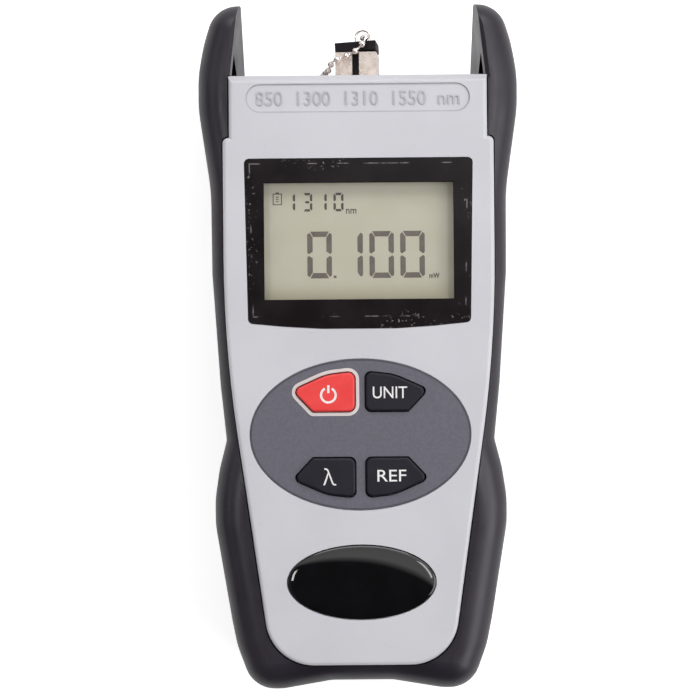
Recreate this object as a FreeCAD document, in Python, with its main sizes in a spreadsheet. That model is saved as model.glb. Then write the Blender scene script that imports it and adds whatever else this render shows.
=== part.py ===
"""Handheld optical power meter in a rubber boot, lying on its back.

Frame, in millimetres: +X to the right of the display, +Y towards the fibre port,
+Z out of the front face. The origin is in the middle of the boot's back face.
"""
import FreeCAD, Part
import math
import operator
import os
import Sketcher

doc = FreeCAD.newDocument("optical_power_meter")
sheet = doc.addObject("Spreadsheet::Sheet", "Sizes")

# Driving dimensions, in millimetres and degrees.
SIZES = {
    # overall, over the boot
    "boot_length": 185.5,
    "boot_width": 86.6,
    # levels above the surface that the meter lies on
    "boot_back": 2.0,            # boot under the case
    "boot_height": 39.6,
    "case_split": 15.0,          # joint between the rear and front covers
    "cover_face": 40.5,          # the flat front of the meter
    "port_level": 24.0,          # axis of the fibre port
    # case
    "shoulder_step": 1.7,
    "shoulder_radius": 1.5,
    "taper_radius": 340.0,
    "corner_radius": 13.0,
    "edge_radius": 1.2,
    "end_bevel": 1.6,
    "wall": 2.2,
    "front_wall": 3.0,
    "rear_wall": 2.4,
    # title recess at the top of the front
    "title_inset": 6.25,         # below the case's top end
    "title_width": 7.7,
    "title_depth": 0.4,
    # display
    "window_narrowing": 0.8,     # on each side, over the window's height
    "window_bulge": 1.75,
    "window_radius": 1.4,
    "window_thickness": 1.4,
    "gasket_thickness": 0.5,
    "lcd_thickness": 2.6,
    "lcd_rim": 1.6,
    "lcd_ledge": 2.4,
    "strip_width": 2.0,
    # keypad
    "keypad_width": 40.4,
    "panel_thickness": 0.8,
    "key_height": 0.9,           # above the panel
    "key_edge": 0.6,
    "key_flange": 0.9,
    "flange_thickness": 1.0,
    "key_inner_x": 1.45,
    "key_inner_y": 6.2,
    "key_tall_y": 16.8,
    "key_bend_x": 9.0,
    "key_bend_y": 15.95,
    "key_tip_x": 18.1,
    "key_tip_y": 11.9,
    "key_foot_x": 12.7,
    "key_corner": 1.8,
    "key_bend_radius": 14.0,
    "key_tip_radius": 1.5,
    "key_foot_radius": 0.5,
    "stem_x": 8.6,
    "stem_y": 11.3,
    "stem_radius": 2.6,
    "mat_width": 42.0,
    "mat_height": 37.0,
    "mat_thickness": 1.6,
    "bump_radius": 3.2,
    "bump_height": 1.3,
    "dome_radius": 2.8,
    "dome_height": 0.4,
    # badge
    "badge_length": 39.8,
    "badge_width": 20.0,
    "badge_recess": 0.6,
    "label_thickness": 0.3,
    "dome_rise": 1.5,
    # main board
    "board_level": 27.0,
    "board_thickness": 1.6,
    "board_taper_y": 0.0,
    # fasteners
    "case_screw_radius": 1.45,
    "case_screw_head": 2.8,
    "case_screw_length": 16.0,
    "case_screw_seat": 7.0,
    "board_screw_radius": 1.0,
    "board_screw_head": 2.1,
    "board_screw_length": 6.0,
    "screw_head_height": 1.6,
    "screw_slot": 0.7,
    "post_wall": 1.8,
    # battery bay in the rear cover
    "cell_radius": 7.25,
    "cell_length": 50.5,
    "cell_pitch": 15.0,
    "cell_nub_radius": 2.6,
    "cell_nub_length": 1.0,
    "bay_wall": 1.1,
    "contact_reach": 2.4,
    "contact_thickness": 0.4,
    "contact_width": 10.0,
    "door_lap": 1.0,
    "door_thickness": 1.8,
    "door_groove": 0.8,
    "hinge_radius": 1.1,
    "hinge_pin_radius": 0.7,
    "hinge_pin_length": 1.6,
    # fibre port
    "housing_radius": 8.2,
    "housing_bore": 7.0,
    "housing_length": 13.8,
    "housing_proud": 1.0,
    "housing_flange": 11.6,
    "flange_depth": 2.0,
    "port_screw_x": 9.95,
    "port_screw_radius": 0.95,
    "port_screw_head": 1.6,
    "port_screw_length": 6.0,
    "detector_radius": 4.2,
    "detector_length": 5.4,
    "detector_window": 1.7,
    "lead_radius": 0.25,
    "lead_length": 6.0,
    "lead_pitch": 2.6,
    "ferrule_radius": 1.255,
    "sleeve_radius": 1.9,
    "sleeve_recess": 1.3,        # sleeve's tip below the adapter's mouth
    "adapter_width": 11.2,
    "adapter_depth": 9.8,
    "adapter_turn": -6.0,
    "shank_length": 7.1,
    "receptacle_width": 9.1,
    "receptacle_height": 7.5,
    "receptacle_depth": 10.8,
    "key_slot": 1.9,
    "cap_thickness": 2.5,
    "cap_plug_width": 8.3,
    "cap_plug_height": 6.7,
    "cap_plug_length": 7.0,
    "cap_wall": 0.9,
    "cap_tilt": 3.0,
    "cap_lift": 0.35,
    "ring_radius": 2.0,
    "ring_wire": 0.35,
    "ring_x": 1.8,
    "ring_rise": 1.8,
    # bead chain and its anchor on the case's end
    "bead_radius": 0.92,
    "bead_pitch": 2.75,
    "link_radius": 0.3,
    "chain_step": 2.5,           # unit of the chain's route
    "anchor_x": 17.0,
    "anchor_level": 10.0,
    "anchor_radius": 2.4,
    "anchor_thickness": 0.6,
    # boot outline
    "tip_radius": 8.2,
    "horn_radius": 38.0,
    "waist_radius": 58.0,
    "neck_radius": 3.0,
    "grip_radius": 25.0,
    "arch_height": 2.25,
    # boot details
    "horn_bevel": 1.0,
    "horn_draft": 2.5,           # degrees
    "nose_length": 18.9,         # of the horns' slanted underside
    "front_roll": 8.0,
    "back_roll": 2.5,
    "pocket_depth": 5.0,
    "pocket_rim": 5.0,
    "pocket_floor": 18.0,
    "back_window_width": 40.0,
    # fits
    "boot_gap": 0.3,
    "key_gap": 0.3,
    "part_gap": 0.15,
    "pin_gap": 0.06,
    "screw_gap": 0.05,
    # heights along the meter, as shares of its length
    "case_top": 0.39218,
    "case_bottom": 0.45983,
    "shoulder_y": 0.3027,
    "taper_y": 0.0027,
    "display_y": 0.15256,
    "lcd_height": 0.20485,
    "view_height": 0.16873,
    "window_top": 0.27116,
    "window_foot": 0.03478,
    "keypad_y": -0.12668,
    "badge_y": -0.33962,
    "board_top": 0.30081,
    "board_foot": 0.36657,
    "case_screw_top_y": 0.33639,
    "case_screw_foot_y": 0.40755,
    "board_screw_top_y": 0.28248,
    "board_screw_foot_y": 0.34501,
    "bay_y": -0.14286,
    "adapter_mouth": 0.4345,
    "adapter_shoulder": 0.39677,
    "horn_bend_y": 0.44474,
    "horn_top_y": 0.39892,
    "horn_foot_y": 0.34771,
    "waist_top_y": 0.22911,
    "waist_foot_y": 0.10782,
    "hip_y": -0.05391,
    "neck_y": -0.13585,
    "grip_rise_y": -0.1779,
    "grip_top_y": -0.22102,
    "grip_foot_y": -0.25876,
    "heel_y": -0.39892,
    "heel_foot_y": -0.43666,
    "pocket_top": 0.45283,
    "back_window_top": 0.05391,
    "back_window_foot": 0.32884,
    # widths across the meter, as shares of its width
    "case_width": 0.83834,
    "bottom_width": 0.55889,
    "title_length": 0.69284,
    "window_width": 0.70323,
    "view_width": 0.58661,
    "keypad_length": 0.68129,
    "lcd_width": 0.65127,
    "board_width": 0.71594,
    "board_foot_width": 0.46189,
    "case_screw_top_x": 0.32102,
    "case_screw_foot_x": 0.18476,
    "board_screw_top_x": 0.31986,
    "board_screw_foot_x": 0.19169,
    "tip_width": 0.88915,
    "horn_bend_width": 0.96305,
    "waist_width": 0.9261,
    "hip_width": 0.87644,
    "neck_width": 0.84065,
    "grip_rise_width": 0.88684,
    "grip_width": 0.91455,
    "heel_width": 0.81524,
    "heel_foot_width": 0.78291,
    "foot_width": 0.6836,
    "lobe_width": 0.49654,
    "foot_radius": 0.09815,
    "lobe_radius": 0.13857,
    "arch_width": 0.19169,
    "horn_gap": 0.79446,
    "waist_foot_width": 0.92263,
    "tip_gap": 0.73672,
}
for row, (alias, value) in enumerate(SIZES.items(), start=1):
    sheet.set(f"A{row}", alias.replace("_", " "))
    sheet.set(f"B{row}", str(value))
    sheet.setAlias(f"B{row}", alias)
doc.recompute()

OPERATIONS = {"+": operator.add, "-": operator.sub, "*": operator.mul, "/": operator.truediv}


class Size:
    """A number that also knows the spreadsheet expression it comes from."""

    def __init__(self, value, text):
        self.value = value
        self.text = text

    def join(self, sign, other, swapped=False):
        if not isinstance(other, Size):
            other = Size(float(other), f"{float(other):.9g}")
        left, right = (other, self) if swapped else (self, other)
        return Size(OPERATIONS[sign](left.value, right.value), f"({left.text} {sign} {right.text})")

    def __add__(self, other):
        return self.join("+", other)

    def __radd__(self, other):
        return self.join("+", other, swapped=True)

    def __sub__(self, other):
        return self.join("-", other)

    def __rsub__(self, other):
        return self.join("-", other, swapped=True)

    def __mul__(self, other):
        return self.join("*", other)

    def __rmul__(self, other):
        return self.join("*", other, swapped=True)

    def __truediv__(self, other):
        return self.join("/", other)

    def __neg__(self):
        return self.join("*", -1.0)

    def __float__(self):
        return self.value


class Sheet:
    """Reads each alias of the spreadsheet as a Size."""

    def __getattr__(self, alias):
        return Size(float(sheet.get(alias)), f"Sizes.{alias}")


S = Sheet()
ZERO = Size(0.0, "0")


class Shares:
    """Reads each alias as a share of one overall size."""

    def __init__(self, whole):
        self.whole = whole

    def __getattr__(self, alias):
        return getattr(S, alias) * self.whole


X = Shares(S.boot_width)
Y = Shares(S.boot_length)


def bind(obj, prop, size):
    """Sets a property to a size and keeps it tied to the spreadsheet."""
    if isinstance(size, Size):
        obj.setExpression(prop, size.text)
    elif prop.startswith("Placement"):
        obj.setExpression(prop, f"{float(size):.9g}")
    else:
        setattr(obj, prop, float(size))


def place(obj, x, y, z):
    for letter, size in zip("xyz", (x, y, z)):
        bind(obj, f"Placement.Base.{letter}", size)
    return obj


# ---------------------------------------------------------------- basic solids

def box(name, x, y, z):
    """A block given by its low and high limit along each axis."""
    solid = doc.addObject("Part::Box", name)
    for prop, (low, high) in zip(("Length", "Width", "Height"), (x, y, z)):
        bind(solid, prop, ZERO + high - low)
    return place(solid, x[0], y[0], z[0])


TURNS = {
    "x": FreeCAD.Rotation(FreeCAD.Vector(0, 1, 0), 90),
    "y": FreeCAD.Rotation(FreeCAD.Vector(1, 0, 0), -90),
    "z": FreeCAD.Rotation(),
}


def rod(name, axis, centre, radius, length):
    """A cylinder that starts at centre and runs along +axis."""
    solid = doc.addObject("Part::Cylinder", name)
    solid.Placement = FreeCAD.Placement(FreeCAD.Vector(), TURNS[axis])
    bind(solid, "Radius", radius)
    bind(solid, "Height", length)
    return place(solid, *centre)


def ring(name, axis, centre, outer, inner, length):
    """A tube that starts at centre and runs along +axis."""
    return cut(name, rod(name + "_outside", axis, centre, outer, length),
               [rod(name + "_inside", axis, centre, inner, length)])


def disc(name, x, y, z, long_radius, short_radius, height):
    """An elliptical plate, its long axis along X."""
    edge = place(doc.addObject("Part::Ellipse", name + "_edge"), x, y, z)
    bind(edge, "MajorRadius", long_radius)
    bind(edge, "MinorRadius", short_radius)
    plate = doc.addObject("Part::Extrusion", name)
    plate.Base = edge
    plate.DirMode = "Custom"
    plate.Dir = FreeCAD.Vector(0, 0, 1)
    plate.Solid = True
    bind(plate, "LengthFwd", height)
    return plate


def fuse(name, solids):
    joined = doc.addObject("Part::MultiFuse", name)
    joined.Shapes = solids
    joined.Refine = True
    return joined


def group(name, solids):
    """Several separate solids of one kind in one sub-part."""
    several = doc.addObject("Part::Compound", name)
    several.Links = solids
    return several


def cut(name, base, tools):
    result = doc.addObject("Part::Cut", name)
    result.Base = base
    result.Tool = tools[0] if len(tools) == 1 else fuse(name + "_cutters", tools)
    result.Refine = True
    return result


# ---------------------------------------------------------------- outlined slabs

def origin_plane(body, role):
    return next(item for item in body.Origin.OriginFeatures if item.Role == role)


def outline_sketch(body, name, corners):
    """A closed polygon on the body's XY plane, each corner tied to the spreadsheet."""
    sketch = body.newObject("Sketcher::SketchObject", name)
    sketch.AttachmentSupport = (origin_plane(body, "XY_Plane"), [""])
    sketch.MapMode = "FlatFace"
    points = [FreeCAD.Vector(float(x), float(y), 0) for x, y, _ in corners]
    count = len(points)
    sketch.addGeometry([Part.LineSegment(points[i], points[(i + 1) % count]) for i in range(count)])
    sketch.addConstraint([Sketcher.Constraint("Coincident", i, 2, (i + 1) % count, 1)
                          for i in range(count)])
    for i, (x, y, _) in enumerate(corners):
        for kind, size in (("DistanceX", x), ("DistanceY", y)):
            number = sketch.addConstraint(Sketcher.Constraint(kind, -1, 1, i, 1, float(size)))
            if isinstance(size, Size):
                sketch.setExpression(f"Constraints[{number}]", size.text)
    sketch.Visibility = False
    return sketch


def matching_edges(shape, wanted):
    return [f"Edge{n}" for n, edge in enumerate(shape.Edges, start=1) if wanted(edge)]


def is_upright_at(x, y):
    """Picks the vertical edge that stands on one corner of an outline."""
    def wanted(edge):
        ends = [vertex.Point for vertex in edge.Vertexes]
        return len(ends) == 2 and all(math.hypot(end.x - x, end.y - y) < 1e-4 for end in ends)
    return wanted


def is_level_at(z):
    """Picks the edges of the flat face at one height."""
    def wanted(edge):
        limits = edge.BoundBox
        return abs(limits.ZMin - z) < 1e-4 and abs(limits.ZMax - z) < 1e-4
    return wanted


def round_edges(body, name, radius, wanted, kind="Fillet"):
    doc.recompute()
    base = body.Tip
    edges = matching_edges(base.Shape, wanted)
    feature = body.newObject(f"PartDesign::{kind}", name)
    feature.Base = (base, edges)
    bind(feature, "Size" if kind == "Chamfer" else "Radius", radius)
    body.Tip = feature
    return feature


def slab(name, corners, low, high, rolls=(), draft=None):
    """A flat-sided solid over an outline of (x, y, radius) corners.

    rolls lists (height within the slab, radius, Fillet or Chamfer) for its level edges, and draft
    is the angle by which its sides open upwards.
    """
    body = doc.addObject("PartDesign::Body", name)
    sketch = outline_sketch(body, name + "_outline", corners)
    pad = body.newObject("PartDesign::Pad", name + "_pad")
    pad.Profile = sketch
    bind(pad, "Length", ZERO + high - low)
    if draft is not None:
        bind(pad, "TaperAngle", draft)
    body.Tip = pad
    radii = {}
    for x, y, radius in corners:
        if float(radius) > 0:
            key = radius.text if isinstance(radius, Size) else str(radius)
            radii.setdefault(key, (radius, []))[1].append(is_upright_at(float(x), float(y)))
    for number, (radius, tests) in enumerate(radii.values(), start=1):
        round_edges(body, f"{name}_corner_{number}", radius,
                    lambda edge, tests=tests: any(test(edge) for test in tests))
    for number, (height, radius, kind) in enumerate(rolls, start=1):
        round_edges(body, f"{name}_roll_{number}", radius, is_level_at(float(height)), kind)
    return place(body, ZERO, ZERO, low)


def both_sides(right):
    """Mirrors a right-hand outline, listed from the top down, about the YZ plane."""
    return right + [(-x, y, radius) for x, y, radius in reversed(right)]


def grown(corners, grow):
    """Moves every side of an outline outwards by grow; its radii stay."""
    points = [(float(x), float(y)) for x, y, _ in corners]
    count = len(points)
    area = sum(points[i - 1][0] * points[i][1] - points[i][0] * points[i - 1][1] for i in range(count))
    turn = math.copysign(1.0, area)
    moved = []
    for i, (x, y, radius) in enumerate(corners):
        normals = []
        for start, end in ((i - 1, i), (i, (i + 1) % count)):
            run_x = points[end][0] - points[start][0]
            run_y = points[end][1] - points[start][1]
            length = math.hypot(run_x, run_y)
            normals.append((turn * run_y / length, -turn * run_x / length))
        (ax, ay), (bx, by) = normals
        share = 1 + ax * bx + ay * by
        moved.append((x + grow * ((ax + bx) / share), y + grow * ((ay + by) / share), radius))
    return moved


# ---------------------------------------------------------------- shared places

CASE = both_sides([
    (X.case_width / 2 - S.shoulder_step, Y.case_top, 0),
    (X.case_width / 2 - S.shoulder_step, Y.shoulder_y, 0),
    (X.case_width / 2, Y.shoulder_y, S.shoulder_radius),
    (X.case_width / 2, Y.taper_y, S.taper_radius),
    (X.bottom_width / 2, -Y.case_bottom, S.corner_radius),
])
front_inside = S.cover_face - S.front_wall
rear_inside = S.boot_back + S.rear_wall
board_face = S.board_level + S.board_thickness
panel_seat = S.cover_face - S.panel_thickness
window_seat = S.cover_face - S.window_thickness - S.gasket_thickness
end_inside = Y.case_top - S.wall
title_y = Y.case_top - S.title_inset
case_screws_at = [(X.case_screw_top_x, Y.case_screw_top_y), (-X.case_screw_top_x, Y.case_screw_top_y),
                  (X.case_screw_foot_x, -Y.case_screw_foot_y), (-X.case_screw_foot_x, -Y.case_screw_foot_y)]
board_screws_at = [(X.board_screw_top_x, Y.board_screw_top_y),
                   (-X.board_screw_top_x, Y.board_screw_top_y),
                   (X.board_screw_foot_x, -Y.board_screw_foot_y),
                   (-X.board_screw_foot_x, -Y.board_screw_foot_y)]
PAST = 1.0      # how far a cutter runs past the face that it opens


def window_outline():
    """The display window: straight top, sides that close in, a bulged foot."""
    foot_half = X.window_width / 2 - S.window_narrowing
    bulge = [(foot_half * share, Y.window_foot - S.window_bulge * (1 - share * share), 0)
             for share in (2 / 3, 1 / 3)]
    return both_sides([(X.window_width / 2, Y.window_top, S.window_radius),
                       (foot_half, Y.window_foot, S.window_radius)] + bulge)


def key_outline(side, row):
    """One key; side and row are +1 or -1 and mirror it about the keypad's centre."""
    right_top = [
        (S.key_inner_x, S.key_inner_y, S.key_corner),
        (S.key_inner_x, S.key_tall_y, S.key_corner),
        (S.key_bend_x, S.key_bend_y, S.key_bend_radius),
        (S.key_tip_x, S.key_tip_y, S.key_tip_radius),
        (S.key_foot_x, S.key_inner_y, S.key_foot_radius),
    ]
    return [(side * x, Y.keypad_y + row * y, radius) for x, y, radius in right_top]


KEYS = {
    "power_key": (-1, 1),
    "unit_key": (1, 1),
    "wavelength_key": (-1, -1),
    "reference_key": (1, -1),
}


def key_openings(low, high, label):
    """Cutters for the four key holes."""
    return [slab(f"{label}_{name}", grown(key_outline(side, row), S.key_gap), low, high)
            for name, (side, row) in KEYS.items()]


def rods_at(name, places, low, high, radius):
    return [rod(f"{name}_{number}", "z", (x, y, low), radius, high - low)
            for number, (x, y) in enumerate(places, start=1)]


# ---------------------------------------------------------------- case

def front_cover():
    shell = slab("cover_block", CASE, S.case_split, S.cover_face)
    height = float(S.cover_face - S.case_split)
    top_y = float(Y.case_top)

    def is_end_edge(edge):
        limits = edge.BoundBox
        return abs(limits.ZMin - height) < 1e-4 and abs(limits.YMin - top_y) < 1e-4

    def is_front_edge(edge):
        return is_level_at(height)(edge) and edge.BoundBox.YMax < top_y - float(S.end_bevel) + 1e-4

    round_edges(shell, "cover_end_bevel", S.end_bevel, is_end_edge, "Chamfer")
    round_edges(shell, "cover_edge", S.edge_radius, is_front_edge)
    hollow = slab("cover_hollow", grown(CASE, -S.wall), S.case_split - PAST, front_inside)
    posts = rods_at("cover_post", case_screws_at, S.case_split, front_inside + PAST / 2,
                    S.case_screw_radius + S.post_wall)
    stands = rods_at("board_stand", board_screws_at, board_face, front_inside + PAST / 2,
                     S.board_screw_radius + S.post_wall)
    walls = fuse("cover_walls", [cut("cover_shell", shell, [hollow])] + posts + stands)
    pilot = S.case_screw_seat + S.case_screw_length + PAST
    holes = rods_at("cover_pilot", case_screws_at, S.case_split - PAST, pilot,
                    S.case_screw_radius + S.screw_gap)
    holes += rods_at("stand_pilot", board_screws_at, board_face - PAST,
                     board_face + S.board_screw_length, S.board_screw_radius + S.screw_gap)
    window = slab("window_recess", grown(window_outline(), S.part_gap), window_seat, S.cover_face + PAST)
    opening = box("view_opening", (-X.view_width / 2 - PAST, X.view_width / 2 + PAST),
                  (Y.display_y - Y.view_height / 2 - PAST, Y.display_y + Y.view_height / 2 + PAST),
                  (front_inside - PAST, S.cover_face))
    keypad = disc("keypad_recess", ZERO, Y.keypad_y, panel_seat, X.keypad_length / 2 + S.part_gap,
                  S.keypad_width / 2 + S.part_gap, S.panel_thickness + PAST)
    badge = disc("badge_recess", ZERO, Y.badge_y, S.cover_face - S.badge_recess,
                 S.badge_length / 2 + S.part_gap, S.badge_width / 2 + S.part_gap, S.badge_recess + PAST)
    title_z = S.cover_face - S.title_depth
    run = X.title_length / 2 - S.title_width / 2
    title = [box("title_middle", (-run, run), (title_y - S.title_width / 2, title_y + S.title_width / 2),
                 (title_z, S.cover_face + PAST))]
    title += rods_at("title_end", [(-run, title_y), (run, title_y)], title_z, S.cover_face + PAST,
                     S.title_width / 2)
    cutters = holes + [window, opening, keypad, badge] + title + port_holes("front")
    cutters += key_openings(front_inside - PAST, panel_seat + PAST / 2, "cover_opening")
    return cut("front_cover", walls, cutters)


def port_holes(label):
    """Cutters through the case's end for the housing and its two screws."""
    start = end_inside - PAST
    length = S.wall + 2 * PAST
    holes = [rod(f"{label}_housing_hole", "y", (ZERO, start, S.port_level),
                 S.housing_radius + S.part_gap, length)]
    for side in (-1, 1):
        holes.append(rod(f"{label}_port_screw_hole_{side + 2}", "y",
                         (side * S.port_screw_x, start, S.port_level),
                         S.port_screw_radius + S.part_gap, length))
    return holes


bay_half_x = S.cell_pitch / 2 + S.cell_radius + S.part_gap
bay_half_y = S.cell_length / 2 + S.contact_reach
cell_axis = S.boot_back + S.door_thickness + S.part_gap * 2 + S.cell_radius
bay_roof = cell_axis + S.cell_radius + S.part_gap
door_half_x = bay_half_x + S.door_lap
door_foot = Y.bay_y - bay_half_y - S.door_lap
hinge_y = Y.bay_y + bay_half_y + S.bay_wall + S.hinge_radius + S.part_gap
hinge_z = S.boot_back + S.hinge_radius


def rear_cover():
    shell = slab("rear_block", CASE, S.boot_back, S.case_split)
    hollow = slab("rear_hollow", grown(CASE, -S.wall), rear_inside, S.case_split + PAST)
    head_room = S.case_screw_head + S.screw_gap * 4
    posts = rods_at("rear_post", case_screws_at, rear_inside - PAST / 2, S.case_split,
                    head_room + S.post_wall / 2)
    bay = box("bay_block", (-bay_half_x - S.bay_wall, bay_half_x + S.bay_wall),
              (Y.bay_y - bay_half_y - S.bay_wall, Y.bay_y + bay_half_y + S.bay_wall),
              (rear_inside - PAST / 2, bay_roof + S.bay_wall))
    walls = fuse("rear_walls", [cut("rear_shell", shell, [hollow]), bay] + posts)
    cutters = rods_at("rear_screw_hole", case_screws_at, S.boot_back - PAST, S.case_split + PAST,
                      S.case_screw_radius + S.part_gap)
    cutters += rods_at("rear_head_hole", case_screws_at, S.boot_back - PAST, S.case_screw_seat, head_room)
    cutters.append(box("bay_hollow", (-bay_half_x, bay_half_x),
                       (Y.bay_y - bay_half_y, Y.bay_y + bay_half_y), (S.boot_back - PAST, bay_roof)))
    cutters.append(box("door_opening", (-door_half_x - S.part_gap, door_half_x + S.part_gap),
                       (door_foot - S.part_gap, hinge_y), (S.boot_back - PAST,
                                                           S.boot_back + S.door_thickness + S.part_gap)))
    cutters.append(box("hinge_opening", (-door_half_x - S.part_gap, door_half_x + S.part_gap),
                       (hinge_y - S.hinge_radius - S.part_gap, hinge_y + S.hinge_radius + S.part_gap * 2),
                       (S.boot_back - PAST, rear_inside + PAST / 2)))
    reach = door_half_x + S.hinge_pin_length + S.part_gap * 2
    cutters.append(rod("hinge_sockets", "x", (-reach, hinge_y, hinge_z),
                       S.hinge_pin_radius + S.pin_gap, 2 * reach))
    cutters.append(rod("anchor_hole", "y", (-S.anchor_x, end_inside - PAST, S.anchor_level),
                       S.port_screw_radius + S.screw_gap, S.wall + 2 * PAST))
    return cut("rear_cover", walls, cutters)


def battery_door():
    plate = box("door_plate", (-door_half_x, door_half_x), (door_foot, hinge_y),
                (S.boot_back, S.boot_back + S.door_thickness))
    barrel = rod("door_barrel", "x", (-door_half_x, hinge_y, hinge_z), S.hinge_radius, 2 * door_half_x)
    reach = door_half_x + S.hinge_pin_length
    pin = rod("door_pin", "x", (-reach, hinge_y, hinge_z), S.hinge_pin_radius, 2 * reach)
    groove_radius = S.door_groove * 3
    groove = rod("door_groove_cutter", "x", (-bay_half_x / 2, Y.bay_y - bay_half_y + groove_radius,
                                             S.boot_back + S.door_groove - groove_radius),
                 groove_radius, bay_half_x)
    return cut("battery_door", fuse("door_solid", [plate, barrel, pin]), [groove])


def battery_cells():
    cells = []
    for side in (-1, 1):
        x = side * S.cell_pitch / 2
        start = Y.bay_y - S.cell_length / 2
        body_y = start + S.cell_nub_length if side < 0 else start
        body = rod(f"cell_body_{side + 2}", "y", (x, body_y, cell_axis), S.cell_radius,
                   S.cell_length - S.cell_nub_length)
        nub_y = start if side < 0 else Y.bay_y + S.cell_length / 2 - S.cell_nub_length
        nub = rod(f"cell_nub_{side + 2}", "y", (x, nub_y, cell_axis), S.cell_nub_radius, S.cell_nub_length)
        cells.append(fuse(f"cell_{side + 2}", [body, nub]))
    return group("battery_cells", cells)


def battery_contacts():
    """A plate with a pressed boss at both ends of each cell."""
    contacts = []
    for side in (-1, 1):
        for end in (-1, 1):
            x = side * S.cell_pitch / 2
            tag = f"{side + 2}_{end + 2}"
            wall_y = Y.bay_y + end * bay_half_y
            plate_y = (wall_y, wall_y + S.contact_thickness) if end < 0 else (wall_y - S.contact_thickness,
                                                                              wall_y)
            plate = box(f"contact_plate_{tag}", (x - S.contact_width / 2, x + S.contact_width / 2), plate_y,
                        (cell_axis - S.contact_width / 2, cell_axis + S.contact_width / 2))
            cell_end = Y.bay_y + end * S.cell_length / 2
            low = wall_y if end < 0 else cell_end
            boss = rod(f"contact_boss_{tag}", "y", (x, low, cell_axis), S.cell_nub_radius,
                       S.contact_reach)
            contacts.append(fuse(f"contact_{tag}", [plate, boss]))
    return group("battery_contacts", contacts)


def screw(name, axis, seat, radius, head, length, way):
    """A pan-head screw with a cross recess; way is +1 when its tip points along +axis."""
    x, y, z = seat
    step = {"y": (0, 1, 0), "z": (0, 0, 1)}[axis]

    def along(distance):
        return (x + step[0] * distance, y + step[1] * distance, z + step[2] * distance)

    shank_start = ZERO if way > 0 else -length
    head_start = -S.screw_head_height if way > 0 else ZERO
    shank = rod(name + "_shank", axis, along(shank_start), radius, length)
    cap = rod(name + "_head", axis, along(head_start), head, S.screw_head_height)
    outer = head_start if way > 0 else head_start + S.screw_head_height / 2
    slots = []
    for number, (long_side, short_side) in enumerate(((head * 0.6, S.screw_slot / 2),
                                                      (S.screw_slot / 2, head * 0.6)), start=1):
        low = along(outer)
        high = along(outer + S.screw_head_height / 2)
        if axis == "z":
            limits = ((x - long_side, x + long_side), (y - short_side, y + short_side), (low[2], high[2]))
        else:
            limits = ((x - long_side, x + long_side), (low[1], high[1]), (z - short_side, z + short_side))
        slots.append(box(f"{name}_slot_{number}", *limits))
    return cut(name, fuse(name + "_blank", [shank, cap]), slots)


def case_screws():
    return group("case_screws", [
        screw(f"case_screw_{n}", "z", (x, y, S.case_screw_seat), S.case_screw_radius, S.case_screw_head,
              S.case_screw_length, 1) for n, (x, y) in enumerate(case_screws_at, start=1)])


def board_screws():
    return group("board_screws", [
        screw(f"board_screw_{n}", "z", (x, y, S.board_level), S.board_screw_radius, S.board_screw_head,
              S.board_screw_length, 1) for n, (x, y) in enumerate(board_screws_at, start=1)])


# ---------------------------------------------------------------- display

def display_window():
    return slab("display_window", window_outline(), S.cover_face - S.window_thickness, S.cover_face)


def window_gasket():
    frame = slab("gasket_sheet", window_outline(), window_seat, window_seat + S.gasket_thickness)
    view = box("gasket_view", (-X.view_width / 2, X.view_width / 2),
               (Y.display_y - Y.view_height / 2, Y.display_y + Y.view_height / 2),
               (window_seat - PAST, S.cover_face))
    return cut("window_gasket", frame, [view])


lcd_low = front_inside - S.part_gap - S.lcd_thickness
lcd_y = (Y.display_y - Y.lcd_height / 2, Y.display_y + Y.lcd_height / 2)


def lcd_panel():
    """Two bonded glass plates, the upper one shorter so that the contact rows stay bare."""
    half = S.lcd_thickness / 2
    lower = box("lcd_lower", (-X.lcd_width / 2, X.lcd_width / 2), lcd_y, (lcd_low, lcd_low + half))
    upper = box("lcd_upper", (-X.lcd_width / 2, X.lcd_width / 2),
                (lcd_y[0] + S.lcd_rim, lcd_y[1] - S.lcd_rim / 2), (lcd_low + half, lcd_low + 2 * half))
    return fuse("lcd_panel", [lower, upper])


def lcd_frame():
    rim = S.lcd_rim
    outer = box("lcd_frame_block", (-X.lcd_width / 2 - rim, X.lcd_width / 2 + rim),
                (lcd_y[0] - rim, lcd_y[1] + rim), (board_face, lcd_low + S.lcd_thickness))
    seat = box("lcd_seat", (-X.lcd_width / 2 - S.part_gap, X.lcd_width / 2 + S.part_gap),
               (lcd_y[0] - S.part_gap, lcd_y[1] + S.part_gap), (lcd_low, lcd_low + S.lcd_thickness + PAST))
    ledge = S.lcd_ledge
    well = box("lcd_well", (-X.lcd_width / 2 + ledge, X.lcd_width / 2 - ledge),
               (lcd_y[0] + rim, lcd_y[1] - rim), (board_face - PAST, lcd_low + PAST / 2))
    return cut("lcd_frame", outer, [seat, well])


def contact_strips():
    """Elastomer strips that carry the display's rows down to the board."""
    half_x = X.lcd_width / 2 - S.lcd_ledge - S.part_gap
    rim = S.lcd_rim + S.part_gap
    foot = box("strip_foot", (-half_x, half_x), (lcd_y[0] + rim, lcd_y[0] + rim + S.strip_width),
               (board_face, lcd_low))
    head = box("strip_head", (-half_x, half_x), (lcd_y[1] - rim - S.strip_width, lcd_y[1] - rim),
               (board_face, lcd_low))
    return group("contact_strips", [foot, head])


# ---------------------------------------------------------------- board and keys

def main_board():
    outline = both_sides([
        (X.board_width / 2, Y.board_top, 0),
        (X.board_width / 2, S.board_taper_y, 0),
        (X.board_foot_width / 2, -Y.board_foot, 0),
    ])
    plate = slab("board_plate", outline, S.board_level, board_face)
    return cut("main_board", plate, rods_at("board_hole", board_screws_at, S.board_level - PAST,
                                            board_face + PAST, S.board_screw_radius + S.part_gap))


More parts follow.
